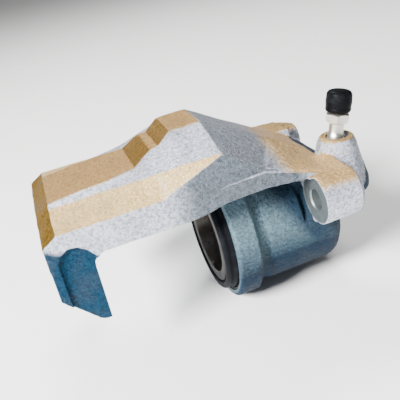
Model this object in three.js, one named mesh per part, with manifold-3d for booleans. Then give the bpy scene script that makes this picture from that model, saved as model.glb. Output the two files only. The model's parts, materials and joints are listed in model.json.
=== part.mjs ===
// Floating brake caliper with one piston: a cast housing with its claw, bridge and cylinder,
// and the piston, seal, dust boot, boot ring, bleeder screw and bleeder cap that it carries.
// Axes: +X points inboard along the piston, +Y across the caliper, +Z away from the wheel hub.
import * as THREE from 'three';
import { mergeVertices } from 'three/addons/utils/BufferGeometryUtils.js';
import Module from 'manifold-3d';

// Driving dimensions, in millimetres. X is measured from the cylinder mouth, Z from the piston axis.
const CLAW_INNER_X = -59.8;
const CLAW_OUTER_X = -77.5;
const CLAW_TIP_Z = -2.5;
const HALF_WIDTH = 36.7;
const BRIDGE_UNDER_Z = 29.7;
const BORE_RADIUS = 24.3;
const BORE_DEPTH = 45;
const COLLAR_RADIUS = 33.8;
const COLLAR_LENGTH = 12.4;
const NECK_RADIUS = 29.4;
const BARREL_START_X = 18.2;
const BARREL_END_X = 57;
const BARREL_RADIUS = 30.3;
const PIN_Y = 37.1;
const PIN_Z = 20.9;
const PIN_HOLE_RADIUS = 4.6;
const EAR_FACE_X = 38.6;
const EAR_RADIUS = 11.6;
const SPOT_FACE_RADIUS = 16.4;
const PISTON_RADIUS = 24;
const PISTON_FACE_X = -4;
const PISTON_LENGTH = 47;
const SEAL_X = 21;
const SEAL_WIDTH = 4.4;
const SEAL_DEPTH = 3.2;
const GAP = 0.3;
const ROUND_STEPS = 64;

// The bleeder leans inboard on a boss at the near rear corner of the barrel.
const BLEEDER_RIM = new THREE.Vector3(61.8, -18, 39);
const BLEEDER_LEAN = THREE.MathUtils.degToRad(11);
const BLEEDER_BORE_RADIUS = 4.4;

const wasm = await Module();
wasm.setup();

// Solids

function toSolid(geometry) {
  const bare = geometry.clone();
  bare.deleteAttribute('normal');
  bare.deleteAttribute('uv');
  const merged = mergeVertices(bare, 1e-4);
  const index = merged.index.array;
  const kept = [];
  for (let i = 0; i < index.length; i += 3) {
    const [a, b, c] = [index[i], index[i + 1], index[i + 2]];
    if (a !== b && b !== c && c !== a) kept.push(a, b, c);
  }
  return new wasm.Manifold(new wasm.Mesh({
    numProp: 3,
    vertProperties: new Float32Array(merged.attributes.position.array),
    triVerts: new Uint32Array(kept),
  }));
}

function toGeometry(solid) {
  const mesh = solid.getMesh();
  const geometry = new THREE.BufferGeometry();
  geometry.setAttribute('position', new THREE.BufferAttribute(new Float32Array(mesh.vertProperties), 3));
  geometry.setIndex(new THREE.BufferAttribute(new Uint32Array(mesh.triVerts), 1));
  geometry.computeVertexNormals();
  return geometry;
}

// A profile of [along, radius] pairs turned about a line through origin that points along direction.
function turned(profile, origin, direction, steps = ROUND_STEPS) {
  const points = profile.map(([along, radius]) => new THREE.Vector2(radius, along));
  const geometry = new THREE.LatheGeometry(points, steps);
  const turn = new THREE.Quaternion().setFromUnitVectors(new THREE.Vector3(0, 1, 0), direction);
  geometry.applyQuaternion(turn);
  geometry.translate(origin.x, origin.y, origin.z);
  return toSolid(geometry);
}

const ALONG_X = new THREE.Vector3(1, 0, 0);
const ALONG_BLEEDER = new THREE.Vector3(Math.sin(BLEEDER_LEAN), 0, Math.cos(BLEEDER_LEAN));

function turnedOnX(profile, y = 0, z = 0, steps = ROUND_STEPS) {
  return turned(profile, new THREE.Vector3(0, y, z), ALONG_X, steps);
}

function rodOnX(startX, endX, radius, y = 0, z = 0, steps = ROUND_STEPS) {
  return turnedOnX([[startX, 0], [startX, radius], [endX, radius], [endX, 0]], y, z, steps);
}

function turnedOnBleeder(profile, steps = 32) {
  return turned(profile, BLEEDER_RIM, ALONG_BLEEDER, steps);
}

// An outline of [x, z] pairs extruded across the caliper from y = -halfWidth to y = +halfWidth.
function acrossY(outline, halfWidth) {
  const shape = new THREE.Shape(outline.map(([x, z]) => new THREE.Vector2(x, z)));
  const geometry = new THREE.ExtrudeGeometry(shape, { depth: 2 * halfWidth, bevelEnabled: false });
  geometry.rotateX(Math.PI / 2);
  geometry.translate(0, halfWidth, 0);
  return toSolid(geometry);
}

// An outline of [y, z] pairs extruded inboard from startX to endX.
function alongX(outline, startX, endX) {
  const shape = new THREE.Shape(outline.map(([y, z]) => new THREE.Vector2(y, z)));
  const geometry = new THREE.ExtrudeGeometry(shape, { depth: endX - startX, bevelEnabled: false });
  geometry.applyMatrix4(new THREE.Matrix4().set(0, 0, 1, startX, 1, 0, 0, 0, 0, 1, 0, 0, 0, 0, 0, 1));
  return toSolid(geometry);
}

// A skin through rings that all have the same number of points, closed at both ends.
function lofted(rings) {
  const count = rings[0].length;
  const positions = rings.flat().flatMap(({ x, y, z }) => [x, y, z]);
  const index = [];
  for (let ring = 0; ring < rings.length - 1; ring += 1) {
    for (let i = 0; i < count; i += 1) {
      const a = ring * count + i;
      const b = ring * count + (i + 1) % count;
      index.push(a, b, a + count, b, b + count, a + count);
    }
  }
  const last = (rings.length - 1) * count;
  for (const [base, flip] of [[0, false], [last, true]]) {
    const outline = rings[base / count].map(({ y, z }) => new THREE.Vector2(y, z));
    for (const [a, b, c] of THREE.ShapeUtils.triangulateShape(outline, [])) {
      index.push(...(flip ? [base + a, base + b, base + c] : [base + a, base + c, base + b]));
    }
  }
  const geometry = new THREE.BufferGeometry();
  geometry.setAttribute('position', new THREE.Float32BufferAttribute(positions, 3));
  geometry.setIndex(index);
  return toSolid(geometry);
}

// Housing

// The bridge changes section along X. Each station gives the rail's outer top edge, the foot of the
// centre rib's wall, and the rib's own top edge; the far half mirrors the near one. Along the cylinder,
// the lower edge of the side stands proud as a strip.
const BRIDGE_STATIONS = [
  { x: -77.7, under: 27.0, railZ: 38.6, footY: 19.0, footZ: 40.2, ribY: 17.0, ribZ: 40.8 },
  { x: -71.3, under: 27.0, railZ: 42.7, footY: 19.0, footZ: 46.0, ribY: 16.6, ribZ: 47.6 },
  { x: -57.0, under: 29.7, railZ: 42.7, footY: 18.6, footZ: 46.6, ribY: 16.2, ribZ: 49.3 },
  { x: -48.0, under: 29.7, railZ: 42.7, footY: 18.4, footZ: 47.0, ribY: 16.0, ribZ: 49.8 },
  { x: -32.0, under: 29.7, railZ: 42.7, footY: 24.0, footZ: 49.2, ribY: 15.6, ribZ: 51.0 },
  { x: -26.4, under: 29.7, railZ: 42.8, footY: 26.2, footZ: 50.0, ribY: 13.6, ribZ: 54.6 },
  { x: -23.4, under: 29.7, railZ: 44.6, footY: 27.4, footZ: 50.6, ribY: 12.2, ribZ: 56.2 },
  { x: -19.6, under: 29.7, railZ: 46.2, footY: 28.8, footZ: 51.2, ribY: 11.8, ribZ: 56.6 },
  { x: -13.6, under: 30.2, railZ: 48.6, footY: 31.0, footZ: 52.2, ribY: 10.6, ribZ: 61.8 },
  { x: 0.6, under: 33.0, railZ: 54.2, footY: 34.4, footZ: 54.6, ribY: 10.4, ribZ: 62.2 },
  { x: 17.7, under: 33.6, railZ: 42.2, footY: 34.6, footZ: 43.0, ribY: 9.8, ribZ: 52.0 },
  { x: 31.0, under: 32.4, railZ: 37.6, footY: 25.0, footZ: 41.0, ribY: 9.2, ribZ: 44.6 },
  { x: 40.0, under: 29.0, railZ: 34.4, footY: 19.0, footZ: 37.0, ribY: 8.8, ribZ: 39.4 },
  { x: 49.0, under: 26.0, railZ: 31.6, footY: 16.0, footZ: 33.0, ribY: 8.4, ribZ: 34.2 },
  { x: 56.0, under: 22.0, railZ: 27.6, footY: 14.0, footZ: 28.6, ribY: 7.6, ribZ: 29.6 },
];
const EDGE_STRIP_HEIGHT = 7;
const EDGE_STRIP_PROUD = 1.5;

function bridgeRing({ x, under, railZ, footY, footZ, ribY, ribZ }) {
  const inner = Math.min(under, BRIDGE_UNDER_Z) - 1.2;
  const stripZ = Math.min(under + EDGE_STRIP_HEIGHT, railZ - 1);
  const proud = EDGE_STRIP_PROUD * THREE.MathUtils.smoothstep(x, -8, 6);
  const half = [
    [22, inner],
    [HALF_WIDTH, under],
    [HALF_WIDTH, stripZ],
    [HALF_WIDTH - proud, stripZ + 0.6],
    [HALF_WIDTH - proud, railZ],
    [footY, footZ],
    [ribY, ribZ],
  ];
  const far = half.map(([y, z]) => ({ x, y, z }));
  const near = half.map(([y, z]) => ({ x, y: -y, z })).reverse();
  return [...far, ...near];
}

function bridge() {
  return lofted(BRIDGE_STATIONS.map(bridgeRing));
}

// The claw hangs from the bridge's outboard end and is slotted for the boring bar.
const CLAW_HALF_WIDTH = 36.5;
const CLAW_PANEL_HALF_WIDTH = 35.3;
const CLAW_SLOT_HALF_WIDTH = 17;
const CLAW_SLOT_CENTRE_Z = 0;

function claw() {
  const side = acrossY([
    [CLAW_OUTER_X, 34],
    [CLAW_OUTER_X, 13.2],
    [-75.8, 11.0],
    [-64.6, -1.5],
    [-62.6, CLAW_TIP_Z],
    [CLAW_INNER_X, CLAW_TIP_Z],
    [CLAW_INNER_X, 25.5],
    [-57.6, 28.2],
    [-54, 30],
    [-54, 36],
    [-72, 38],
  ], CLAW_HALF_WIDTH);
  const slotRoof = rodOnX(-90, -50, CLAW_SLOT_HALF_WIDTH, 0, CLAW_SLOT_CENTRE_Z);
  const slotMouth = alongX([
    [-CLAW_SLOT_HALF_WIDTH, -10],
    [CLAW_SLOT_HALF_WIDTH, -10],
    [CLAW_SLOT_HALF_WIDTH, CLAW_SLOT_CENTRE_Z],
    [-CLAW_SLOT_HALF_WIDTH, CLAW_SLOT_CENTRE_Z],
  ], -90, -50);
  return side.subtract(slotRoof).subtract(slotMouth);
}

// A shallow panel with an arched top is sunk into each flank of the claw.
function clawPanels() {
  const panel = [
    [-73.6, -8],
    [-73.6, 29.5],
    [-72, 33.3],
    [-69, 35.4],
    [-65, 35.2],
    [-61.5, 32.8],
    [-58.5, 29],
    [-58.5, -8],
  ];
  return acrossY(panel, HALF_WIDTH + 2).subtract(acrossY(panel, CLAW_PANEL_HALF_WIDTH));
}

// The cylinder's outside: the wide collar at the mouth, a cast recess and the barrel with its rounded end.
function cylinderOutside() {
  return turnedOnX([
    [0, 0],
    [0, COLLAR_RADIUS - 1.2],
    [1.2, COLLAR_RADIUS],
    [COLLAR_LENGTH - 1.4, COLLAR_RADIUS - 0.4],
    [COLLAR_LENGTH, NECK_RADIUS + 1.4],
    [COLLAR_LENGTH + 1.4, NECK_RADIUS],
    [BARREL_START_X - 1.2, NECK_RADIUS],
    [BARREL_START_X, BARREL_RADIUS - 0.2],
    [BARREL_START_X + 1.6, BARREL_RADIUS],
    [BARREL_END_X - 6, BARREL_RADIUS - 0.6],
    [BARREL_END_X - 2.6, BARREL_RADIUS - 2],
    [BARREL_END_X - 0.7, BARREL_RADIUS - 4.6],
    [BARREL_END_X, BARREL_RADIUS - 8],
    [BARREL_END_X, 0],
  ]);
}

// One ear: a long boss around the guide-pin hole and the web that ties it to the barrel. The web's
// raw face stands proud of the machined one. The far boss is the longer of the two.
const WEB_FACE_X = 36.6;
const EAR_END_X = 59;
const EAR_TAPER = 3;
const FAR_EAR_END_X = 67;
const FAR_EAR_TAPER = 16;

function ear(side) {
  const endX = side > 0 ? FAR_EAR_END_X : EAR_END_X;
  const taper = side > 0 ? FAR_EAR_TAPER : EAR_TAPER;
  const boss = turnedOnX([
    [EAR_FACE_X, 0],
    [EAR_FACE_X, EAR_RADIUS],
    [endX - taper, EAR_RADIUS - 0.5],
    [endX - taper * 0.4, EAR_RADIUS - 2.2],
    [endX - 0.4, EAR_RADIUS - 4.4],
    [endX, 0],
  ], side * PIN_Y, PIN_Z, 40);
  const web = alongX([
    [side * 12, 20],
    [side * 18, 6],
    [side * 27, 6.4],
    [side * (PIN_Y + 1), PIN_Z - EAR_RADIUS + 0.3],
    [side * (PIN_Y + 1), PIN_Z + EAR_RADIUS - 0.3],
    [side * 20, PIN_Z + EAR_RADIUS + 1],
  ], WEB_FACE_X, BARREL_END_X - 1.5);
  return boss.add(web);
}

// The spot-facing tool machines the ear's face and clears its own way past it in the raw web. It stays
// below the arm, which runs over the ear.
const SPOT_FACE_DEPTH = 2.6;
const TOOL_CLEARANCE_LENGTH = 9;
const ARM_BOTTOM_Z = PIN_Z + EAR_RADIUS - 0.8;
const ARM_TOP_Z = 60;
const ARM_REACH = 20;

function armAboveEar(side) {
  const inner = side * (PIN_Y - ARM_REACH);
  const outer = side * (PIN_Y + ARM_REACH);
  const outline = [[inner, ARM_BOTTOM_Z], [outer, ARM_BOTTOM_Z], [outer, ARM_TOP_Z], [inner, ARM_TOP_Z]];
  return alongX(outline, EAR_FACE_X - TOOL_CLEARANCE_LENGTH - 1, EAR_FACE_X + 1);
}

function earMachining(side) {
  const y = side * PIN_Y;
  const clearanceStartX = EAR_FACE_X - TOOL_CLEARANCE_LENGTH;
  const pinHole = rodOnX(clearanceStartX, FAR_EAR_END_X + 2, PIN_HOLE_RADIUS, y, PIN_Z, 32);
  const spotFace = rodOnX(EAR_FACE_X - SPOT_FACE_DEPTH, EAR_FACE_X, SPOT_FACE_RADIUS, y, PIN_Z, 48);
  const clearance = rodOnX(clearanceStartX, EAR_FACE_X, EAR_RADIUS + 1, y, PIN_Z, 40);
  return pinHole.add(spotFace.add(clearance).subtract(armAboveEar(side)));
}

// The boss stands upright and only its bore leans, so its top is turned about the Z axis.
function bleederBoss() {
  const upright = new THREE.Vector3(0, 0, 1);
  return turned([
    [-33, 0],
    [-32, 6],
    [-29.5, 10.6],
    [-26, 13.6],
    [-22, 13.7],
    [-10, 10.6],
    [-3.5, 9.2],
    [-1, 8.2],
    [0, 7],
    [0, 0],
  ], BLEEDER_RIM, upright, 40);
}

const HOSE_PORT_Y = 6;
const HOSE_PORT_Z = -5;
const HOSE_FACE_X = BARREL_END_X + 3.4;
const HOSE_THREAD_RADIUS = 4.6;
const HOSE_PASSAGE_RADIUS = 2;

function hosePortBoss() {
  return turnedOnX([
    [BARREL_END_X - 6, 0],
    [BARREL_END_X - 6, 12.4],
    [HOSE_FACE_X - 0.6, 10.6],
    [HOSE_FACE_X, 10],
    [HOSE_FACE_X, 0],
  ], HOSE_PORT_Y, HOSE_PORT_Z, 40);
}

// A scrap of casting flash left on the parting line under the barrel.
function partingFlash() {
  const foot = -BARREL_RADIUS + 1.5;
  return acrossY([
    [33, foot],
    [35.2, -BARREL_RADIUS - 1.2],
    [41, -BARREL_RADIUS - 1.7],
    [45, -BARREL_RADIUS - 1],
    [47, foot],
  ], 0.9);
}

// What is cut out of the cylinder: the bore, the seal groove, the seat for the boot and its ring, and
// the relief that the same cutter leaves under the bridge.
const BOOT_SEAT_RADIUS = 30.6;
const BOOT_SEAT_DEPTH = 5;
const BOOT_RELIEF_LENGTH = 9;

function cylinderInside() {
  return turnedOnX([
    [-BOOT_RELIEF_LENGTH, 0],
    [-BOOT_RELIEF_LENGTH, BOOT_SEAT_RADIUS],
    [BOOT_SEAT_DEPTH, BOOT_SEAT_RADIUS],
    [BOOT_SEAT_DEPTH, BORE_RADIUS],
    [SEAL_X, BORE_RADIUS],
    [SEAL_X, BORE_RADIUS + SEAL_DEPTH],
    [SEAL_X + SEAL_WIDTH, BORE_RADIUS + SEAL_DEPTH],
    [SEAL_X + SEAL_WIDTH, BORE_RADIUS],
    [BORE_DEPTH - 0.8, BORE_RADIUS],
    [BORE_DEPTH, BORE_RADIUS - 1.5],
    [BORE_DEPTH, 0],
  ]);
}

const BLEEDER_BORE_DEPTH = 15;
const BLEEDER_PASSAGE_RADIUS = 1.6;

function bleederBore() {
  const threaded = turnedOnBleeder([
    [-BLEEDER_BORE_DEPTH - 2.4, 0],
    [-BLEEDER_BORE_DEPTH, BLEEDER_BORE_RADIUS - 1.6],
    [-BLEEDER_BORE_DEPTH, BLEEDER_BORE_RADIUS],
    [-0.8, BLEEDER_BORE_RADIUS],
    [1, BLEEDER_BORE_RADIUS + 1.4],
    [1, 0],
  ]);
  const bottom = BLEEDER_RIM.clone().addScaledVector(ALONG_BLEEDER, -BLEEDER_BORE_DEPTH - 1.2);
  const inCylinder = new THREE.Vector3(BORE_DEPTH - 2, -8, 17);
  const way = inCylinder.clone().sub(bottom);
  const length = way.length();
  const passage = turned([
    [0, 0],
    [0, BLEEDER_PASSAGE_RADIUS],
    [length, BLEEDER_PASSAGE_RADIUS],
    [length, 0],
  ], bottom, way.normalize(), 12);
  return threaded.add(passage);
}

function hosePort() {
  const thread = rodOnX(BARREL_END_X - 5, HOSE_FACE_X + 1, HOSE_THREAD_RADIUS, HOSE_PORT_Y, HOSE_PORT_Z, 24);
  const passage = rodOnX(BORE_DEPTH - 1, BARREL_END_X - 4, HOSE_PASSAGE_RADIUS, HOSE_PORT_Y, HOSE_PORT_Z, 12);
  return thread.add(passage);
}

function housing() {
  const cast = [claw(), cylinderOutside(), bleederBoss(), hosePortBoss(), partingFlash()];
  let solid = cast.reduce((whole, part) => whole.add(part), bridge());
  for (const side of [-1, 1]) {
    solid = solid.add(ear(side));
  }
  for (const cut of [clawPanels(), cylinderInside(), bleederBore(), hosePort()]) {
    solid = solid.subtract(cut);
  }
  for (const side of [-1, 1]) {
    solid = solid.subtract(earMachining(side));
  }
  return solid;
}

// Hydraulics

const PISTON_GROOVE_X = PISTON_FACE_X + 1.4;
const PISTON_GROOVE_WIDTH = 2.4;
const PISTON_GROOVE_RADIUS = PISTON_RADIUS - 1.8;
const PISTON_CUP_RADIUS = 19.4;
const PISTON_FLOOR = 8;

function piston() {
  const backX = PISTON_FACE_X + PISTON_LENGTH;
  return turnedOnX([
    [PISTON_FACE_X + 0.8, PISTON_CUP_RADIUS],
    [PISTON_FACE_X, PISTON_CUP_RADIUS + 0.8],
    [PISTON_FACE_X, PISTON_RADIUS - 0.8],
    [PISTON_FACE_X + 0.8, PISTON_RADIUS],
    [PISTON_GROOVE_X, PISTON_RADIUS],
    [PISTON_GROOVE_X, PISTON_GROOVE_RADIUS],
    [PISTON_GROOVE_X + PISTON_GROOVE_WIDTH, PISTON_GROOVE_RADIUS],
    [PISTON_GROOVE_X + PISTON_GROOVE_WIDTH, PISTON_RADIUS],
    [backX - 2, PISTON_RADIUS],
    [backX, PISTON_RADIUS - 1.2],
    [backX, 0],
    [backX - PISTON_FLOOR, 0],
    [backX - PISTON_FLOOR, PISTON_CUP_RADIUS - 3],
    [backX - PISTON_FLOOR - 3, PISTON_CUP_RADIUS],
    [PISTON_FACE_X + 0.8, PISTON_CUP_RADIUS],
  ]);
}

function pistonSeal() {
  const inner = PISTON_RADIUS + GAP;
  const outer = BORE_RADIUS + SEAL_DEPTH - GAP;
  const start = SEAL_X + GAP;
  const end = SEAL_X + SEAL_WIDTH - GAP;
  return turnedOnX([[start, inner], [start, outer], [end, outer], [end, inner], [start, inner]]);
}

// The boot: a bead in the housing's seat, one open fold, and a lip in the piston's groove.
const BOOT_WALL = 1.3;
const BOOT_OUTER_RADIUS = 29;
const BOOT_BEAD_END_X = BOOT_SEAT_DEPTH - GAP;
const BOOT_LIP_X = PISTON_GROOVE_X + GAP;
const BOOT_LIP_END_X = PISTON_GROOVE_X + PISTON_GROOVE_WIDTH - GAP;

function dustBoot() {
  const lipRadius = PISTON_GROOVE_RADIUS + GAP;
  const foldX = PISTON_FACE_X - 0.8;
  return turnedOnX([
    [BOOT_LIP_X, lipRadius],
    [BOOT_LIP_X, PISTON_RADIUS + 1],
    [foldX + 0.6, PISTON_RADIUS + 1.2],
    [foldX, PISTON_RADIUS + 2.2],
    [foldX, BOOT_OUTER_RADIUS - 1.4],
    [foldX + 1.4, BOOT_OUTER_RADIUS - 0.3],
    [BOOT_BEAD_END_X, BOOT_OUTER_RADIUS],
    [BOOT_BEAD_END_X, BOOT_OUTER_RADIUS - BOOT_WALL],
    [foldX + 2, BOOT_OUTER_RADIUS - BOOT_WALL - 0.3],
    [foldX + 1.4, PISTON_RADIUS + 2.6],
    [BOOT_LIP_END_X, PISTON_RADIUS + 2],
    [BOOT_LIP_END_X, lipRadius],
    [BOOT_LIP_X, lipRadius],
  ]);
}

const BOOT_RING_INSET = 0.8;

function bootRing() {
  const outer = BOOT_SEAT_RADIUS - GAP;
  const inner = BOOT_OUTER_RADIUS + GAP;
  return turnedOnX([
    [BOOT_RING_INSET, inner],
    [BOOT_RING_INSET, outer],
    [BOOT_BEAD_END_X, outer],
    [BOOT_BEAD_END_X, inner],
    [BOOT_RING_INSET, inner],
  ]);
}

// Bleeder

const BLEEDER_THREAD_RADIUS = 4.1;
const BLEEDER_NECK_RADIUS = 3.4;
const BLEEDER_HEX_START = 6.2;
const BLEEDER_HEX_LENGTH = 4.6;
const BLEEDER_HEX_FLATS = 10;
const NIPPLE_RADIUS = 2.9;
const NIPPLE_LENGTH = 7;
const CAP_START = BLEEDER_HEX_START + BLEEDER_HEX_LENGTH + 0.6;
const CAP_LENGTH = 9.8;
const CAP_RADIUS = 5.9;

function bleederScrew() {
  const body = turnedOnBleeder([
    [-BLEEDER_BORE_DEPTH - 1.0, 0],
    [-BLEEDER_BORE_DEPTH + 1.6, BLEEDER_BORE_RADIUS - 1.8],
    [-BLEEDER_BORE_DEPTH + 1.6, BLEEDER_THREAD_RADIUS],
    [1.6, BLEEDER_THREAD_RADIUS],
    [2.2, BLEEDER_NECK_RADIUS],
    [BLEEDER_HEX_START + 1, BLEEDER_NECK_RADIUS],
    [BLEEDER_HEX_START + 1, 0],
  ]);
  const hexCorner = BLEEDER_HEX_FLATS / Math.sqrt(3);
  const hex = turnedOnBleeder([
    [BLEEDER_HEX_START, 0],
    [BLEEDER_HEX_START, hexCorner],
    [BLEEDER_HEX_START + BLEEDER_HEX_LENGTH, hexCorner],
    [BLEEDER_HEX_START + BLEEDER_HEX_LENGTH, 0],
  ], 6);
  const nippleStart = BLEEDER_HEX_START + BLEEDER_HEX_LENGTH - 0.5;
  const nipple = turnedOnBleeder([
    [nippleStart, 0],
    [nippleStart, NIPPLE_RADIUS - 0.5],
    [CAP_START + NIPPLE_LENGTH - 3, NIPPLE_RADIUS - 0.5],
    [CAP_START + NIPPLE_LENGTH - 2.4, NIPPLE_RADIUS],
    [CAP_START + NIPPLE_LENGTH - 0.6, NIPPLE_RADIUS - 0.7],
    [CAP_START + NIPPLE_LENGTH, 0],
  ]);
  return body.add(hex).add(nipple);
}

function bleederCap() {
  const pocket = NIPPLE_RADIUS + GAP;
  return turnedOnBleeder([
    [CAP_START, pocket],
    [CAP_START, CAP_RADIUS - 0.6],
    [CAP_START + 0.8, CAP_RADIUS],
    [CAP_START + 4, CAP_RADIUS + 0.15],
    [CAP_START + CAP_LENGTH - 1.6, CAP_RADIUS - 0.1],
    [CAP_START + CAP_LENGTH - 0.5, CAP_RADIUS - 0.7],
    [CAP_START + CAP_LENGTH, CAP_RADIUS - 1.8],
    [CAP_START + CAP_LENGTH, 0],
    [CAP_START + NIPPLE_LENGTH + GAP, 0],
    [CAP_START + NIPPLE_LENGTH + GAP, pocket],
    [CAP_START, pocket],
  ], 36);
}

// Assembly

const zincPlate = new THREE.MeshStandardMaterial({ color: 0xc9c3b4, roughness: 0.42, metalness: 0.9 });
const machinedSteel = new THREE.MeshStandardMaterial({ color: 0xb8b3a8, roughness: 0.28, metalness: 1 });
const blackRubber = new THREE.MeshStandardMaterial({ color: 0x17181a, roughness: 0.6, metalness: 0 });

const caliper = new THREE.Group();
// The origin is midway between the guide-pin holes, in the plane of the machined ear faces.
caliper.position.set(-EAR_FACE_X, 0, -PIN_Z);

function place(name, solid, material) {
  const mesh = new THREE.Mesh(toGeometry(solid), material);
  mesh.name = name;
  caliper.add(mesh);
}

place('caliper_housing', housing(), zincPlate);
place('piston', piston(), machinedSteel);
place('piston_seal', pistonSeal(), blackRubber);
place('dust_boot', dustBoot(), blackRubber);
place('boot_retaining_ring', bootRing(), machinedSteel);
place('bleeder_screw', bleederScrew(), machinedSteel);
place('bleeder_cap', bleederCap(), blackRubber);

export default caliper;
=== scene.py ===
import json
import math

import bmesh
import bpy
import numpy as np
from mathutils import Matrix, Vector, noise


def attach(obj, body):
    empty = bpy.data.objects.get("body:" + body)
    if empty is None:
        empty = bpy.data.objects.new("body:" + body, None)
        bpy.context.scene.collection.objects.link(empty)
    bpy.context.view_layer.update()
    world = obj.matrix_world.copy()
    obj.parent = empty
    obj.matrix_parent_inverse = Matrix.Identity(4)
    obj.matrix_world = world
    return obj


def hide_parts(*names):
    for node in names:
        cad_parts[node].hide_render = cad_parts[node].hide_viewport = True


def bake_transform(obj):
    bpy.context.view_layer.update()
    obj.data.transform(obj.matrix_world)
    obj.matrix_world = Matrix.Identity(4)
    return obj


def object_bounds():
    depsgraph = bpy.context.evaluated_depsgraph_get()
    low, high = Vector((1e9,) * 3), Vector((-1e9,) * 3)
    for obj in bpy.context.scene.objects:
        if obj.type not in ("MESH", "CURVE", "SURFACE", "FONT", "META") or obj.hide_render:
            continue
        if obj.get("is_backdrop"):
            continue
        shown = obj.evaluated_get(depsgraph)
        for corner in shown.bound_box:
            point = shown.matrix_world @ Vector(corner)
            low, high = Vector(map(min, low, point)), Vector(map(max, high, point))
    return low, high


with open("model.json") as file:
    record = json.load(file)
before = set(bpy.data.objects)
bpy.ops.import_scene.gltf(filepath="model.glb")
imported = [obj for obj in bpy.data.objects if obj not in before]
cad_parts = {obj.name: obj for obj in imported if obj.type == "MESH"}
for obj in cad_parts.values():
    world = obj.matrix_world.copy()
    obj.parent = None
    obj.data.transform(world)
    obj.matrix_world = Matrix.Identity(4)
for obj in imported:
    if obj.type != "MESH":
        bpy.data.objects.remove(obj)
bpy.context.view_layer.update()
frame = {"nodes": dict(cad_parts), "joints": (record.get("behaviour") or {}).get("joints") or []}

# Brake caliper. Sizes are in millimetres, measured as in the CAD model: X from the cylinder mouth, inboard
# positive, and Z from the piston axis. place() turns them into the frame's metres.
MM = 0.001
EAR_FACE_X = 38.6
PIN_Y = 37.1
PIN_Z = 20.9
CLAW_INNER_X = -59.8
BRIDGE_HALF_WIDTH = 36.7
COLLAR_RADIUS = 33.8
BORE_RADIUS = 24.3
BORE_DEPTH = 45
BOOT_SEAT_RADIUS = 30.6
BOOT_SEAT_DEPTH = 5
BOOT_RELIEF_LENGTH = 9
PIN_HOLE_RADIUS = 4.6
PIN_HOLE_CHAMFER = 0.7
EAR_TOOL_REACH = 9
EAR_RADIUS = 11.6
EAR_SPOT_RADIUS = 10.9
FAR_EAR_END_X = 67
HOSE_FACE_X = 60.4
HOSE_PORT_Y = 6
HOSE_PORT_Z = -5
HOSE_THREAD_RADIUS = 4.6
HOSE_THREAD_DEPTH = 8.2
HOSE_SPOT_RADIUS = 13
BLEEDER_BORE_RADIUS = 4.4
BLEEDER_BORE_DEPTH = 15
PISTON_RADIUS = 24
PISTON_FACE_X = -4
PISTON_LENGTH = 47
PISTON_GROOVE_X = PISTON_FACE_X + 1.4
PISTON_GROOVE_WIDTH = 2.4
PISTON_GROOVE_RADIUS = PISTON_RADIUS - 1.8
PISTON_CUP_RADIUS = 19.4
PISTON_FLOOR = 8
GAP = 0.3
FINE_STEPS = 160

INBOARD = Vector((1, 0, 0))
ORIGIN = Vector((-EAR_FACE_X, 0, -PIN_Z)) * MM
JOINTS = {joint["name"]: joint for joint in frame["joints"]}
BLEEDER_RIM = Vector(JOINTS["bleeder_turn"]["pos_m"])
BLEEDER_AXIS = Vector(JOINTS["bleeder_turn"]["axis"]).normalized()


def place(x, y, z):
    return ORIGIN + Vector((x, y, z)) * MM


# Mesh helpers


def new_object(name, mesh, *materials):
    obj = bpy.data.objects.new(name, mesh)
    bpy.context.collection.objects.link(obj)
    for material in materials:
        mesh.materials.append(material)
    return obj


def smooth_shading(obj, sharp_above=35):
    obj.data.shade_smooth()
    obj.data.set_sharp_from_angle(angle=math.radians(sharp_above))


def softened(profile, radius, closed=True, steps=4):
    """The profile with each corner rounded by a short curve."""
    points = [Vector(p) for p in profile]
    count = len(points)
    result = []
    for i, corner in enumerate(points):
        if not closed and i in (0, count - 1):
            result.append(corner)
            continue
        before = points[i - 1] - corner
        after = points[(i + 1) % count] - corner
        reach = min(radius, before.length * 0.45, after.length * 0.45)
        start = corner + before.normalized() * reach
        end = corner + after.normalized() * reach
        for k in range(steps + 1):
            t = k / steps
            result.append(start * (1 - t) ** 2 + corner * 2 * t * (1 - t) + end * t**2)
    return [tuple(p) for p in result]


def turned(profile, origin, axis, steps=128, closed=True):
    """A bmesh of (along, radius) points in millimetres, turned about the axis through origin.
    A profile that isn't closed starts and ends on the axis."""
    turn = Vector((0, 0, 1)).rotation_difference(axis).to_matrix()
    bm = bmesh.new()
    rings = []
    for along, radius in profile:
        if radius < 1e-6:
            rings.append([bm.verts.new(origin + turn @ Vector((0, 0, along)) * MM)])
            continue
        ring = []
        for k in range(steps):
            angle = 2 * math.pi * k / steps
            spot = Vector((radius * math.cos(angle), radius * math.sin(angle), along))
            ring.append(bm.verts.new(origin + turn @ spot * MM))
        rings.append(ring)
    pairs = list(zip(rings, rings[1:]))
    if closed:
        pairs.append((rings[-1], rings[0]))
    for lower, upper in pairs:
        for k in range(steps):
            n = (k + 1) % steps
            below = [lower[k % len(lower)], lower[n % len(lower)]]
            above = [upper[n % len(upper)], upper[k % len(upper)]]
            corners = list(dict.fromkeys(below + above))
            if len(corners) > 2:
                bm.faces.new(corners)
    bmesh.ops.recalc_face_normals(bm, faces=bm.faces)
    return bm


def mesh_of(bm, name):
    mesh = bpy.data.meshes.new(name)
    bm.to_mesh(mesh)
    bm.free()
    return mesh


def turned_piece(name, profile, material, origin=None, axis=INBOARD, steps=128, closed=True):
    origin = place(0, 0, 0) if origin is None else origin
    piece = new_object(name, mesh_of(turned(profile, origin, axis, steps, closed), name), material)
    smooth_shading(piece)
    return piece


def apply_modifiers(obj):
    depsgraph = bpy.context.evaluated_depsgraph_get()
    mesh = bpy.data.meshes.new_from_object(obj.evaluated_get(depsgraph))
    obj.modifiers.clear()
    obj.data = mesh


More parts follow.
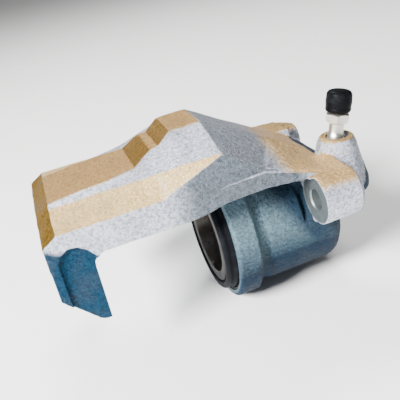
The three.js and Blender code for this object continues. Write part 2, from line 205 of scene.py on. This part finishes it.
def boolean(obj, cutter, operation="DIFFERENCE"):
    modifier = obj.modifiers.new("boolean", "BOOLEAN")
    modifier.operation = operation
    modifier.solver = "MANIFOLD"
    modifier.object = cutter
    modifier.material_mode = "TRANSFER"
    apply_modifiers(obj)
    bpy.data.objects.remove(cutter)


# Materials


class Nodes:
    """Short calls for building one material's node tree."""

    def __init__(self, name):
        self.material = bpy.data.materials.new(name)
        self.material.use_nodes = True
        self.tree = self.material.node_tree
        self.shader = self.tree.nodes["Principled BSDF"]

    def add(self, kind, **values):
        node = self.tree.nodes.new(kind)
        for key, value in values.items():
            setattr(node, key, value)
        return node

    def link(self, output, target):
        self.tree.links.new(output, target)

    def coordinates(self):
        return self.add("ShaderNodeTexCoord").outputs["Object"]

    def noise(self, vector, scale, detail=3.0, roughness=0.55):
        node = self.add("ShaderNodeTexNoise")
        node.inputs["Scale"].default_value = scale
        node.inputs["Detail"].default_value = detail
        node.inputs["Roughness"].default_value = roughness
        self.link(vector, node.inputs["Vector"])
        return node.outputs["Fac"]

    def cells(self, vector, scale):
        node = self.add("ShaderNodeTexVoronoi")
        node.inputs["Scale"].default_value = scale
        self.link(vector, node.inputs["Vector"])
        return node.outputs["Distance"]

    def ramp(self, value, low, high, to_low=0.0, to_high=1.0):
        node = self.add("ShaderNodeMapRange")
        node.inputs["From Min"].default_value = low
        node.inputs["From Max"].default_value = high
        node.inputs["To Min"].default_value = to_low
        node.inputs["To Max"].default_value = to_high
        self.link(value, node.inputs["Value"])
        return node.outputs["Result"]

    def math(self, operation, *values):
        node = self.add("ShaderNodeMath", operation=operation)
        for socket, value in zip(node.inputs, values):
            if isinstance(value, (int, float)):
                socket.default_value = value
            else:
                self.link(value, socket)
        return node.outputs[0]

    def mix(self, factor, first, second):
        node = self.add("ShaderNodeMix", data_type="RGBA")
        sockets = [node.inputs[0], node.inputs[6], node.inputs[7]]
        for socket, value in zip(sockets, (factor, first, second)):
            if isinstance(value, tuple):
                socket.default_value = (*value, 1)
            elif isinstance(value, (int, float)):
                socket.default_value = value
            else:
                self.link(value, socket)
        return node.outputs[2]

    def bump(self, height, distance, strength=1.0, normal=None):
        node = self.add("ShaderNodeBump")
        node.inputs["Strength"].default_value = strength
        node.inputs["Distance"].default_value = distance
        self.link(height, node.inputs["Height"])
        if normal is not None:
            self.link(normal, node.inputs["Normal"])
        return node.outputs["Normal"]

    def set(self, **values):
        for key, value in values.items():
            socket = self.shader.inputs[key.replace("_", " ")]
            if isinstance(value, (int, float)):
                socket.default_value = value
            elif isinstance(value, tuple):
                socket.default_value = (*value, 1)
            else:
                self.link(value, socket)
        return self.material


# Each tone of the plate is a pair: the skin's hollows, then its bright grains.
BRIGHT_PLATE = (0.22, 0.24, 0.29), (0.82, 0.85, 0.98)
# Painted shade: the plate's tone where the bridge's sides and its inboard slope are shaded.
PAINTED_SHADE_PLATE = (0.06, 0.075, 0.09), (0.20, 0.23, 0.27)
# Painted warm light: straw and tan for the warm light on faces that turn up.
STRAW_WARM_LIGHT = (0.60, 0.36, 0.13), (1.0, 0.77, 0.38)
TAN_WARM_LIGHT = (0.32, 0.17, 0.05), (0.66, 0.42, 0.17)
# Painted warm light in gold on faces turned outboard. The upper end gold is darker: painted shade on the
# end's up-facing part.
SLOPE_GOLD_WARM_LIGHT = (0.10, 0.05, 0.006), (0.30, 0.17, 0.035)
END_GOLD_WARM_LIGHT = (0.07, 0.034, 0.001), (0.19, 0.105, 0.007)
UPPER_END_GOLD_PAINTED_SHADE = (0.042, 0.02, 0.0005), (0.12, 0.066, 0.003)
# Painted blue shade on the claw's lower part and its sunk side panels.
CLAW_PAINTED_SHADE_BLUE = (0.001, 0.015, 0.034), (0.007, 0.05, 0.10)
TEAL = (0.05, 0.085, 0.105), (0.15, 0.235, 0.28)
# Painted shade: deep blue for the cylinder's underside and for the shadow cast on its inboard end.
PAINTED_SHADE_BLUE = (0.0006, 0.007, 0.018), (0.002, 0.022, 0.05)
GRIME = (0.08, 0.08, 0.08)
PLATE_SPECULAR = 0.12
PLATE_METALLIC = 0.8
TINTED_METALLIC = 0.45
MATT_METALLIC_SHARE = 0.1
MATT_ROUGHENING = 0.3
GRAIN_SCALE = 800
BLOTCH_SCALE = 90
LUMP_SCALE = 520
PIT_SCALE = 430

# Half widths of the rib at its foot and at its crown, each at two stations.
RIB_FOOT_X = (-48, 0.6)
RIB_FOOT_HALF_WIDTH = (18.5, 34.4)
RIB_CROWN_X = (-45, -20)
RIB_CROWN_HALF_WIDTH = (16.2, 11.5)
# The line where the claw's painted blue shade ends, from its outboard to its inboard side.
CLAW_LINE_X = (-77.5, -60)
CLAW_LINE_Z = (37.5, 28.5)


class Plating(Nodes):
    """Nodes that know where a point of the casting lies and which way it faces."""

    def __init__(self, name):
        super().__init__(name)
        self.where = self.coordinates()
        spot = self.add("ShaderNodeSeparateXYZ")
        self.link(self.where, spot.inputs[0])
        facing = self.add("ShaderNodeSeparateXYZ")
        self.link(self.add("ShaderNodeNewGeometry").outputs["Normal"], facing.inputs[0])
        self.x = spot.outputs["X"]
        self.z = spot.outputs["Z"]
        self.aside = self.math("ABSOLUTE", spot.outputs["Y"])
        self.inward = facing.outputs["X"]
        self.sideways = self.math("ABSOLUTE", facing.outputs["Y"])
        self.up = facing.outputs["Z"]
        self.grain = self.noise(self.where, GRAIN_SCALE, 6, 0.8)
        self.blotch = self.noise(self.where, BLOTCH_SCALE, 4, 0.6)
        self.speckle = self.ramp(self.grain, 0.38, 0.60)

    def tone(self, pair):
        return self.mix(self.speckle, *pair)

    def both(self, first, second):
        return self.math("MULTIPLY", first, second)

    def either(self, first, second):
        return self.math("MAXIMUM", first, second)

    def along(self, start, end, to_low=0.0, to_high=1.0):
        """Ramps between two stations along the piston's axis, in millimetres."""
        return self.ramp(self.x, place(start, 0, 0).x, place(end, 0, 0).x, to_low, to_high)

    def half_width(self, stations, widths):
        return self.along(*stations, *(width * MM for width in widths))


def silver_plate(n):
    """Bright plate, with painted shade on the middle of the bridge's sides and on the inboard-facing slope
    down to the arms.
    """
    # Painted shade on the middle of the sides and on faces turned inboard.
    middle = n.both(n.along(-28, -14), n.along(40, 32))
    painted_shade_side = n.both(middle, n.ramp(n.sideways, 0.6, 0.85))
    painted_shade_slope = n.both(n.ramp(n.inward, 0.15, 0.4), n.along(-1, 2, 0, 0.7))
    return n.mix(n.either(painted_shade_side, painted_shade_slope), n.tone(BRIGHT_PLATE), n.tone(PAINTED_SHADE_PLATE))


def crown_place(n):
    crown = n.half_width(RIB_CROWN_X, RIB_CROWN_HALF_WIDTH)
    return n.ramp(n.math("SUBTRACT", crown, n.aside), -0.5 * MM, 0.5 * MM)


def paint_warm_light(n, base, on_crown):
    """Painted warm light: straw on the rails and tan on the rib's crown and the arms, where they face up. The
    rib's walls, between its crown and its foot, stay silver."""
    foot = n.half_width(RIB_FOOT_X, RIB_FOOT_HALF_WIDTH)
    on_rail = n.ramp(n.math("SUBTRACT", n.aside, foot), -0.3 * MM, 0.8 * MM)
    outboard_top = n.both(n.either(on_rail, on_crown), n.along(1.2, 0))
    arm = n.along(24, 31)
    # The warm tone is painted light, laid only on faces that turn up.
    warm = n.mix(n.either(on_crown, n.both(arm, 0.7)), n.tone(STRAW_WARM_LIGHT), n.tone(TAN_WARM_LIGHT))
    return n.mix(n.both(n.either(outboard_top, arm), n.ramp(n.up, 0.6, 0.8)), base, warm)


def paint_outboard_warm_light(n, base, on_crown, end_face):
    """Painted warm light in gold on the bridge's outboard end and on the rib's outboard slopes, where they
    face outboard, with a darker painted shade gold on the end's up-facing part. Returns the colour and its
    mask.
    """
    # Painted light: gold only where faces turn outboard, and painted shade where the end faces up.
    outward = n.ramp(n.inward, -0.22, -0.42)
    slopes = n.both(on_crown, n.along(-8, -12))
    painted_gold_light = n.both(outward, n.either(end_face, slopes))
    end_tone = n.mix(n.ramp(n.up, 0.35, 0.6), n.tone(END_GOLD_WARM_LIGHT), n.tone(UPPER_END_GOLD_PAINTED_SHADE))
    return n.mix(painted_gold_light, base, n.mix(end_face, n.tone(SLOPE_GOLD_WARM_LIGHT), end_tone)), painted_gold_light


def claw_shade_place(n):
    """Where the claw gets painted blue shade: up to a wavering line on its faces and to the arched tops of
    its sunk side panels.
    """
    wavering = n.math("ADD", n.z, n.ramp(n.blotch, 0.3, 0.7, -1 * MM, 1 * MM))
    line = n.along(*CLAW_LINE_X, *(place(0, 0, z).z for z in CLAW_LINE_Z))
    low = n.ramp(n.math("SUBTRACT", wavering, line), 1 * MM, -1 * MM)
    below_arch = n.ramp(n.z, place(0, 0, 37).z, place(0, 0, 36).z)
    within_side = n.ramp(n.aside, (BRIDGE_HALF_WIDTH - 0.5) * MM, (BRIDGE_HALF_WIDTH - 0.8) * MM)
    sunk = n.both(within_side, below_arch)
    flank = n.both(n.ramp(n.sideways, 0.5, 0.8), sunk)
    return n.both(n.either(low, flank), n.along(-56, -57.5))


def cylinder_place(n):
    """The cylinder, and how much painted shade it gets there: painted shade underneath and a painted cast
    shadow towards its inboard end.
    """
    height = n.math("SUBTRACT", n.z, ORIGIN.z)
    radius = n.math("SQRT", n.math("ADD", n.both(n.aside, n.aside), n.both(height, height)))
    near_axis = n.ramp(radius, (COLLAR_RADIUS + 1.1) * MM, (COLLAR_RADIUS + 0.4) * MM)
    on_cylinder = n.both(near_axis, n.along(-3, -2))
    # Painted cast shadow: a slanting edge towards the inboard end, where the ear's shadow falls.
    slanting = n.math("ADD", n.x, n.both(height, 0.5))
    inboard = n.ramp(slanting, place(29, 0, 0).x, place(39, 0, 0).x)
    # Painted shade on faces turned down.
    under = n.ramp(n.up, 0.3, -0.25)
    return on_cylinder, n.either(n.both(inboard, 0.9), under)


def plated_casting_material():
    """Zinc plate over a sand-cast skin. Bright grains stand in darker hollows. Painted warm light makes what
    faces up straw and what faces outboard gold; the claw gets painted blue shade, and the cylinder is teal
    with painted blue shade and shadow."""
    n = Plating("plated_casting")
    on_crown = crown_place(n)
    end_face = n.along(-66, -70)
    color = paint_warm_light(n, silver_plate(n), on_crown)
    color, painted_gold_light = paint_outboard_warm_light(n, color, on_crown, end_face)
    painted_claw_shade = claw_shade_place(n)
    # Painted blue shade on the claw.
    color = n.mix(painted_claw_shade, color, n.tone(CLAW_PAINTED_SHADE_BLUE))
    on_cylinder, painted_shade_and_shadow = cylinder_place(n)
    # The cylinder is teal, with painted deep blue shade and shadow.
    color = n.mix(on_cylinder, color, n.mix(painted_shade_and_shadow, n.tone(TEAL), n.tone(PAINTED_SHADE_BLUE)))
    color = n.mix(n.ramp(n.blotch, 0.45, 0.8, 0.0, 0.3), color, GRIME)

    tinted = n.either(painted_claw_shade, on_cylinder)
    matt = n.either(n.both(painted_gold_light, end_face), n.both(on_cylinder, painted_shade_and_shadow))
    metallic = n.both(
        n.ramp(tinted, 0, 1, PLATE_METALLIC, TINTED_METALLIC), n.ramp(matt, 0, 1, 1, MATT_METALLIC_SHARE)
    )
    rough = n.math("ADD", n.ramp(n.grain, 0.3, 0.7, 0.42, 0.24), n.both(matt, MATT_ROUGHENING))
    skin = n.bump(n.noise(n.where, LUMP_SCALE, 5, 0.75), 0.0016, 0.9)
    skin = n.bump(n.grain, 0.0006, 0.9, skin)
    skin = n.bump(n.cells(n.where, PIT_SCALE), 0.0005, 0.4, skin)
    n.shader.inputs["Specular IOR Level"].default_value = PLATE_SPECULAR
    return n.set(Base_Color=color, Metallic=metallic, Roughness=rough, Normal=skin)


def machined_material(name, color, metallic=0.95, roughness=0.3, specular=0.5):
    """Cut metal with the fine lines of a turning or facing tool."""
    n = Nodes(name)
    n.shader.inputs["Specular IOR Level"].default_value = specular
    where = n.coordinates()
    wave = n.add("ShaderNodeTexWave", wave_type="BANDS", bands_direction="X")
    wave.inputs["Scale"].default_value = 900
    wave.inputs["Distortion"].default_value = 1.5
    n.link(where, wave.inputs["Vector"])
    smear = n.noise(where, 160, 3)
    base = n.mix(n.ramp(smear, 0.3, 0.7), color, tuple(c * 0.72 for c in color))
    rough = n.ramp(smear, 0.3, 0.7, roughness - 0.06, roughness + 0.1)
    lines = n.bump(wave.outputs["Fac"], 0.00006, 0.35)
    return n.set(Base_Color=base, Metallic=metallic, Roughness=rough, Normal=lines)


RUBBER_SPECULAR = 0.04


def rubber_material(name, color, roughness):
    """Moulded rubber: faint mottling, dust in the hollows and a fine skin."""
    n = Nodes(name)
    where = n.coordinates()
    dust = n.noise(where, 240, 4, 0.6)
    base = n.mix(n.ramp(dust, 0.5, 0.8), color, tuple(c * 1.8 + 0.004 for c in color))
    rough = n.ramp(dust, 0.3, 0.7, roughness - 0.08, roughness + 0.1)
    skin = n.bump(n.noise(where, 1400, 3), 0.00008, 0.5)
    n.shader.inputs["Specular IOR Level"].default_value = RUBBER_SPECULAR
    return n.set(Base_Color=base, Metallic=0.0, Roughness=rough, Normal=skin)


CASTING = plated_casting_material()
MACHINED = machined_material("machined_face", (0.20, 0.23, 0.235), 0.8, 0.4)
# Painted shade: the piston's steel is near black, standing in for the shade in the cylinder's mouth.
PISTON_PAINTED_SHADE_STEEL = machined_material("piston_steel", (0.012, 0.012, 0.013), 0.25, 0.5, 0.12)
# Painted shade: the cup's inside is darkened for the shade within it.
CUP_PAINTED_SHADE = machined_material("cup_inside_painted_shade", (0.10, 0.09, 0.08), 0.95, 0.3)
# Painted shade: the ring's steel is near black, standing in for the shade in the cylinder's mouth.
RING_PAINTED_SHADE_STEEL = machined_material("ring_steel", (0.012, 0.014, 0.017), 0.4, 0.5, 0.15)
BLEEDER_STEEL = machined_material("bleeder_steel", (0.70, 0.68, 0.62), 0.95, 0.3)
SEAL_RUBBER = rubber_material("seal_rubber", (0.03, 0.03, 0.03), 0.5)
BOOT_RUBBER = rubber_material("boot_rubber", (0.004, 0.0045, 0.006), 0.5)
CAP_RUBBER = rubber_material("cap_rubber", (0.003, 0.0032, 0.004), 0.4)


# Housing

VOXEL = 0.45 * MM
SMOOTHING_ROUNDS = 4
SKIN_DEPTH = 0.11 * MM
SKIN_SCALE = 760
RIPPLE_DEPTH = 0.10 * MM
RIPPLE_SCALE = 150
# The tools cut this much deeper than the CAD faces, so that no rough skin is left on them.
SHAVE = 0.16


def keeps_skin(points):
    """1 where the casting keeps its rough skin, 0 on what a tool has cut, for points in millimetres."""
    x, y, z = points.T
    keep = np.ones(len(points))
    radius = np.hypot(y, z)
    keep[(radius < COLLAR_RADIUS - 0.8) & (x > -1) & (x < BORE_DEPTH + 1)] = 0
    keep[(radius < COLLAR_RADIUS + 1) & (np.abs(x) < 0.8)] = 0
    pin = np.hypot(np.abs(y) - PIN_Y, z - PIN_Z)
    keep[(pin < EAR_RADIUS) & (np.abs(x - EAR_FACE_X) < 0.8)] = 0
    keep[pin < PIN_HOLE_RADIUS + 0.8] = 0
    return keep


def rough_casting():
    """The CAD casting with its edges rounded and a rough sand-cast skin."""
    mesh = frame["nodes"]["caliper_housing"].data.copy()
    mesh.materials.clear()
    obj = new_object("housing_casting", mesh, CASTING)
    remesh = obj.modifiers.new("even skin", "REMESH")
    remesh.mode = "VOXEL"
    remesh.voxel_size = VOXEL
    rounding = obj.modifiers.new("rounding", "SMOOTH")
    rounding.factor = 0.5
    rounding.iterations = SMOOTHING_ROUNDS
    apply_modifiers(obj)
    mesh = obj.data
    count = len(mesh.vertices)
    spots = np.zeros(count * 3)
    mesh.vertices.foreach_get("co", spots)
    spots = spots.reshape(-1, 3)
    normals = np.array([v.normal for v in mesh.vertices])
    keep = keeps_skin((spots - np.array(ORIGIN)) / MM)
    lift = np.zeros(count)
    for i in np.flatnonzero(keep):
        spot = Vector(spots[i])
        grain = noise.noise(spot * SKIN_SCALE) * SKIN_DEPTH
        ripple = noise.noise(spot * RIPPLE_SCALE) * RIPPLE_DEPTH
        lift[i] = grain + ripple
    mesh.vertices.foreach_set("co", (spots + normals * (lift * keep)[:, None]).ravel())
    mesh.update()
    return obj


def cutters():
    """Every tool's sweep as one mesh of separate closed solids, a little deeper than the CAD surface."""
    bore = [
        (-BOOT_RELIEF_LENGTH, 0),
        (-BOOT_RELIEF_LENGTH, BOOT_SEAT_RADIUS + SHAVE),
        (BOOT_SEAT_DEPTH + SHAVE, BOOT_SEAT_RADIUS + SHAVE),
        (BOOT_SEAT_DEPTH + SHAVE, BORE_RADIUS + 0.8),
        (BOOT_SEAT_DEPTH + 0.8, BORE_RADIUS + SHAVE),
        (BORE_DEPTH + SHAVE, BORE_RADIUS + SHAVE),
        (BORE_DEPTH + SHAVE, 0),
    ]
    sweeps = [(bore, place(0, 0, 0), INBOARD)]
    for side in (-1, 1):
        start = EAR_FACE_X - EAR_TOOL_REACH
        face = EAR_FACE_X + SHAVE
        pin = [
            (start, 0),
            (start, EAR_SPOT_RADIUS),
            (face, EAR_SPOT_RADIUS),
            (face, PIN_HOLE_RADIUS + PIN_HOLE_CHAMFER),
            (face + 0.6, PIN_HOLE_RADIUS + SHAVE),
            (FAR_EAR_END_X + 1, PIN_HOLE_RADIUS + SHAVE),
            (FAR_EAR_END_X + 1, 0),
        ]
        sweeps.append((pin, place(0, side * PIN_Y, PIN_Z), INBOARD))
    thread_end = HOSE_FACE_X - HOSE_THREAD_DEPTH
    hose = [
        (thread_end, 0),
        (thread_end, HOSE_THREAD_RADIUS + SHAVE),
        (HOSE_FACE_X - 1, HOSE_THREAD_RADIUS + SHAVE),
        (HOSE_FACE_X - SHAVE, HOSE_THREAD_RADIUS + 0.9),
        (HOSE_FACE_X - SHAVE, HOSE_SPOT_RADIUS),
        (HOSE_FACE_X + 4, HOSE_SPOT_RADIUS),
        (HOSE_FACE_X + 4, 0),
    ]
    sweeps.append((hose, place(0, HOSE_PORT_Y, HOSE_PORT_Z), INBOARD))
    bleeder = [
        (-BLEEDER_BORE_DEPTH, 0),
        (-BLEEDER_BORE_DEPTH, BLEEDER_BORE_RADIUS + SHAVE),
        (-0.9, BLEEDER_BORE_RADIUS + SHAVE),
        (0.6, 5.9),
        (3, 6.0),
        (3, 0),
    ]
    sweeps.append((bleeder, BLEEDER_RIM, BLEEDER_AXIS))
    whole = bmesh.new()
    for profile, origin, axis in sweeps:
        part = mesh_of(turned(profile, origin, axis, 128, closed=False), "sweep")
        whole.from_mesh(part)
        bpy.data.meshes.remove(part)
    low = place(CLAW_INNER_X - SHAVE, -BRIDGE_HALF_WIDTH - 3, -7)
    high = place(CLAW_INNER_X + 6, BRIDGE_HALF_WIDTH + 3, 24)
    size = high - low
    shape = Matrix.Translation((low + high) / 2) @ Matrix.Diagonal((*size, 1))
    bmesh.ops.create_cube(whole, size=1, matrix=shape)
    return new_object("cutters", mesh_of(whole, "cutters"), MACHINED)


def housing():
    obj = rough_casting()
    boolean(obj, cutters())
    smooth_shading(obj, 40)
    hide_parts("caliper_housing")
    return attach(obj, "housing_body")


# Hydraulic parts


def piston():
    """A hollow cup, open outboard, with a groove for the boot's lip behind its rim."""
    back = PISTON_FACE_X + PISTON_LENGTH
    groove_end = PISTON_GROOVE_X + PISTON_GROOVE_WIDTH
    outline = [
        (PISTON_FACE_X, PISTON_CUP_RADIUS),
        (PISTON_FACE_X, PISTON_RADIUS),
        (PISTON_GROOVE_X, PISTON_RADIUS),
        (PISTON_GROOVE_X, PISTON_GROOVE_RADIUS),
        (groove_end, PISTON_GROOVE_RADIUS),
        (groove_end, PISTON_RADIUS),
        (back - 0.5, PISTON_RADIUS),
        (back, PISTON_RADIUS - 1.4),
        (back, 0),
    ]
    inside = [
        (back - PISTON_FLOOR, 0),
        (back - PISTON_FLOOR, PISTON_CUP_RADIUS - 3),
        (back - PISTON_FLOOR - 3, PISTON_CUP_RADIUS),
    ]
    profile = softened([*outline, *inside], 0.4)
    profile = [(a, max(r, 0)) for a, r in profile]
    obj = turned_piece("piston_cup", profile, PISTON_PAINTED_SHADE_STEEL, steps=FINE_STEPS)
    # The cup's inside takes the darker painted shade material.
    obj.data.materials.append(CUP_PAINTED_SHADE)
    for face in obj.data.polygons:
        _, y, z = (face.center - ORIGIN) / MM
        if math.hypot(y, z) < PISTON_CUP_RADIUS + 0.1 and face.center.x < place(back - 4, 0, 0).x:
            face.material_index = 1
    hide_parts("piston")
    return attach(obj, "piston_body")


BOOT_OUTER_RADIUS = 29


def dust_boot():
    """A bead in the housing's seat, two ripples and a lip in the piston's groove, stretched by the piston."""
    lip_start = PISTON_GROOVE_X + GAP
    lip_end = lip_start + 1.8
    lip_radius = PISTON_GROOVE_RADIUS + GAP
    outer = [
        (lip_start, lip_radius),
        (lip_start, 24.9),
        (-4.1, 25.2),
        (-4.8, 26.2),
        (-4.6, 27.6),
        (-3.2, 28.5),
        (-1.4, 28.2),
        (0.4, 28.9),
        (1.6, BOOT_OUTER_RADIUS),
        (BOOT_SEAT_DEPTH - GAP, BOOT_OUTER_RADIUS),
    ]
    inner = [
        (BOOT_SEAT_DEPTH - GAP, 27.2),
        (1.8, 27.4),
        (0.2, 27.7),
        (-1.6, 27.0),
        (-3.0, 27.3),
        (-3.7, 26.8),
        (-3.6, 26.3),
        (lip_end, 25.9),
        (lip_end, lip_radius),
    ]
    profile = softened([*outer, *inner], 0.7, steps=3)
    obj = turned_piece("boot_bellows", profile, BOOT_RUBBER, steps=FINE_STEPS)
    smooth_shading(obj, 60)
    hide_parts("dust_boot")
    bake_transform(obj)
    return obj


def boot_ring():
    inner = BOOT_OUTER_RADIUS + GAP
    outer = BOOT_SEAT_RADIUS - GAP
    end = BOOT_SEAT_DEPTH - GAP
    profile = softened([(0.8, inner), (0.8, outer), (end, outer), (end, inner)], 0.4)
    obj = turned_piece("boot_ring", profile, RING_PAINTED_SHADE_STEEL, steps=FINE_STEPS)
    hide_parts("boot_retaining_ring")
    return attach(obj, "housing_body")


def piston_seal():
    obj = frame["nodes"]["piston_seal"]
    obj.data.materials.clear()
    obj.data.materials.append(SEAL_RUBBER)


# Bleeder

HEX_START = 6.2
HEX_LENGTH = 4.6
HEX_FLATS = 10
CAP_START = HEX_START + HEX_LENGTH + 0.6
CAP_LENGTH = 9.8
CAP_RADIUS = 5.9
NIPPLE_RADIUS = 2.9
NIPPLE_LENGTH = 7
THREAD_PITCH = 1.25
THREAD_TURNS = 11
THREAD_START = -13


def bleeder_screw():
    """Threaded shank, neck, chamfered hexagon and barbed nipple in one piece."""
    shank = [(THREAD_START - 2.6, 0), (THREAD_START - 0.4, 2.4), (THREAD_START - 0.4, 3.5)]
    for k in range(THREAD_TURNS):
        foot = THREAD_START + k * THREAD_PITCH
        shank += [(foot, 3.55), (foot + THREAD_PITCH / 2, 4.1)]
    neck = [(1.2, 3.6), (1.9, 3.4), (HEX_START - 0.4, 3.4), (HEX_START, 3.9)]
    nipple_start = HEX_START + HEX_LENGTH
    nipple = [
        (nipple_start, 3.2),
        (nipple_start + 0.4, NIPPLE_RADIUS - 0.5),
        (CAP_START + NIPPLE_LENGTH - 3, NIPPLE_RADIUS - 0.5),
        (CAP_START + NIPPLE_LENGTH - 2.4, NIPPLE_RADIUS),
        (CAP_START + NIPPLE_LENGTH - 0.6, NIPPLE_RADIUS - 0.7),
        (CAP_START + NIPPLE_LENGTH, 0),
    ]
    along_screw = (BLEEDER_STEEL, BLEEDER_RIM, BLEEDER_AXIS)
    obj = turned_piece("bleeder_shank", [*shank, *neck, *nipple], *along_screw, 64, closed=False)
    corner = HEX_FLATS / math.sqrt(3)
    hexagon = [(HEX_START, 0), (HEX_START, corner), (nipple_start, corner), (nipple_start, 0)]
    chamfered = [
        (HEX_START - 0.01, 0),
        (HEX_START - 0.01, corner - 1.3),
        (HEX_START + 0.7, corner + 0.05),
        (nipple_start - 0.9, corner + 0.05),
        (nipple_start + 0.01, corner - 1.5),
        (nipple_start + 0.01, 0),
    ]
    nut = turned_piece("nut", hexagon, *along_screw, 6, closed=False)
    shaper = turned_piece("shaper", chamfered, *along_screw, 96, closed=False)
    boolean(nut, shaper, "INTERSECT")
    boolean(obj, nut, "UNION")
    smooth_shading(obj, 28)
    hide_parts("bleeder_screw")
    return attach(obj, "bleeder_body")


def bleeder_cap():
    """A moulded rubber cap: a rolled skirt, a slightly bulged wall and a rounded crown."""
    top = CAP_START + CAP_LENGTH
    pocket = NIPPLE_RADIUS + GAP
    outline = [
        (CAP_START, pocket),
        (CAP_START, CAP_RADIUS - 0.3),
        (CAP_START + 1.3, CAP_RADIUS),
        (CAP_START + 1.9, CAP_RADIUS - 0.15),
        (CAP_START + 4.5, CAP_RADIUS + 0.1),
        (top - 1.6, CAP_RADIUS - 0.15),
        (top - 0.5, CAP_RADIUS - 0.9),
        (top - 0.05, CAP_RADIUS - 2.2),
        (top, 0),
    ]
    pocket_end = CAP_START + NIPPLE_LENGTH + GAP
    inside = [(pocket_end, 0), (pocket_end, pocket)]
    profile = [(a, max(r, 0)) for a, r in softened([*outline, *inside], 0.5)]
    obj = turned_piece("bleeder_cap_rubber", profile, CAP_RUBBER, BLEEDER_RIM, BLEEDER_AXIS, 96)
    smooth_shading(obj, 50)
    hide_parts("bleeder_cap")
    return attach(obj, "cap_body")


# Stage

FLOOR_HALF_SIDE = 6
FLOOR_COLOR = (0.93, 0.93, 0.92)
FLOOR_CLEARANCE = 0.0002
WHITE = (1, 1, 1)
FILL_STRENGTH = 0.17
SOFTBOX_SIZE = 0.4
KEY_OFFSET = Vector((-0.80, -0.44, 0.62))
KEY_WATTS = 66
TOP_OFFSET = Vector((0.1, 0.66, 0.95))
TOP_WATTS = 13.5


def floor():
    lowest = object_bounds()[0].z
    bm = bmesh.new()
    bmesh.ops.create_grid(bm, x_segments=1, y_segments=1, size=FLOOR_HALF_SIDE)
    pale = Nodes("floor").set(Base_Color=FLOOR_COLOR, Roughness=0.9)
    obj = new_object("floor", mesh_of(bm, "floor"), pale)
    obj.location.z = lowest - FLOOR_CLEARANCE
    obj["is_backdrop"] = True


def softbox(name, location, target, watts):
    light = bpy.data.lights.new(name, "AREA")
    light.shape = "DISK"
    light.size = SOFTBOX_SIZE
    light.energy = watts
    light.color = WHITE
    obj = bpy.data.objects.new(name, light)
    bpy.context.collection.objects.link(obj)
    obj.location = location
    obj.rotation_mode = "QUATERNION"
    obj.rotation_quaternion = (Vector(target) - obj.location).to_track_quat("-Z", "Y")


def lights():
    """A white key softbox from outboard and in front, another above and behind, and a weak white fill."""
    world = bpy.data.worlds.new("studio")
    world.use_nodes = True
    background = world.node_tree.nodes["Background"]
    background.inputs["Color"].default_value = (*WHITE, 1)
    background.inputs["Strength"].default_value = FILL_STRENGTH
    bpy.context.scene.world = world
    centre = place(0, 0, 15)
    softbox("key_softbox", centre + KEY_OFFSET, centre, KEY_WATTS)
    softbox("top_softbox", centre + TOP_OFFSET, centre, TOP_WATTS)


CAMERA_SPOT = (-60.1, -236.9, 141.4)
CAMERA_AZIMUTH = math.radians(-13.4)
CAMERA_ELEVATION = math.radians(26.6)
CAMERA_ROLL = math.radians(-12.0)
CAMERA_LENS = 50.7


def camera():
    data = bpy.data.cameras.new("camera")
    data.sensor_width = 36
    data.lens = CAMERA_LENS
    data.clip_start = 0.01
    obj = bpy.data.objects.new("camera", data)
    bpy.context.collection.objects.link(obj)
    flat = math.cos(CAMERA_ELEVATION)
    rise = math.sin(CAMERA_ELEVATION)
    back = Vector((math.sin(CAMERA_AZIMUTH) * flat, -math.cos(CAMERA_AZIMUTH) * flat, rise))
    roll = Matrix.Rotation(CAMERA_ROLL, 3, "Z").to_quaternion()
    obj.location = place(*CAMERA_SPOT)
    obj.rotation_mode = "QUATERNION"
    obj.rotation_quaternion = (-back).to_track_quat("-Z", "Y") @ roll
    bpy.context.scene.camera = obj


housing()
piston()
dust_boot()
boot_ring()
piston_seal()
bleeder_screw()
bleeder_cap()
floor()
lights()
camera()
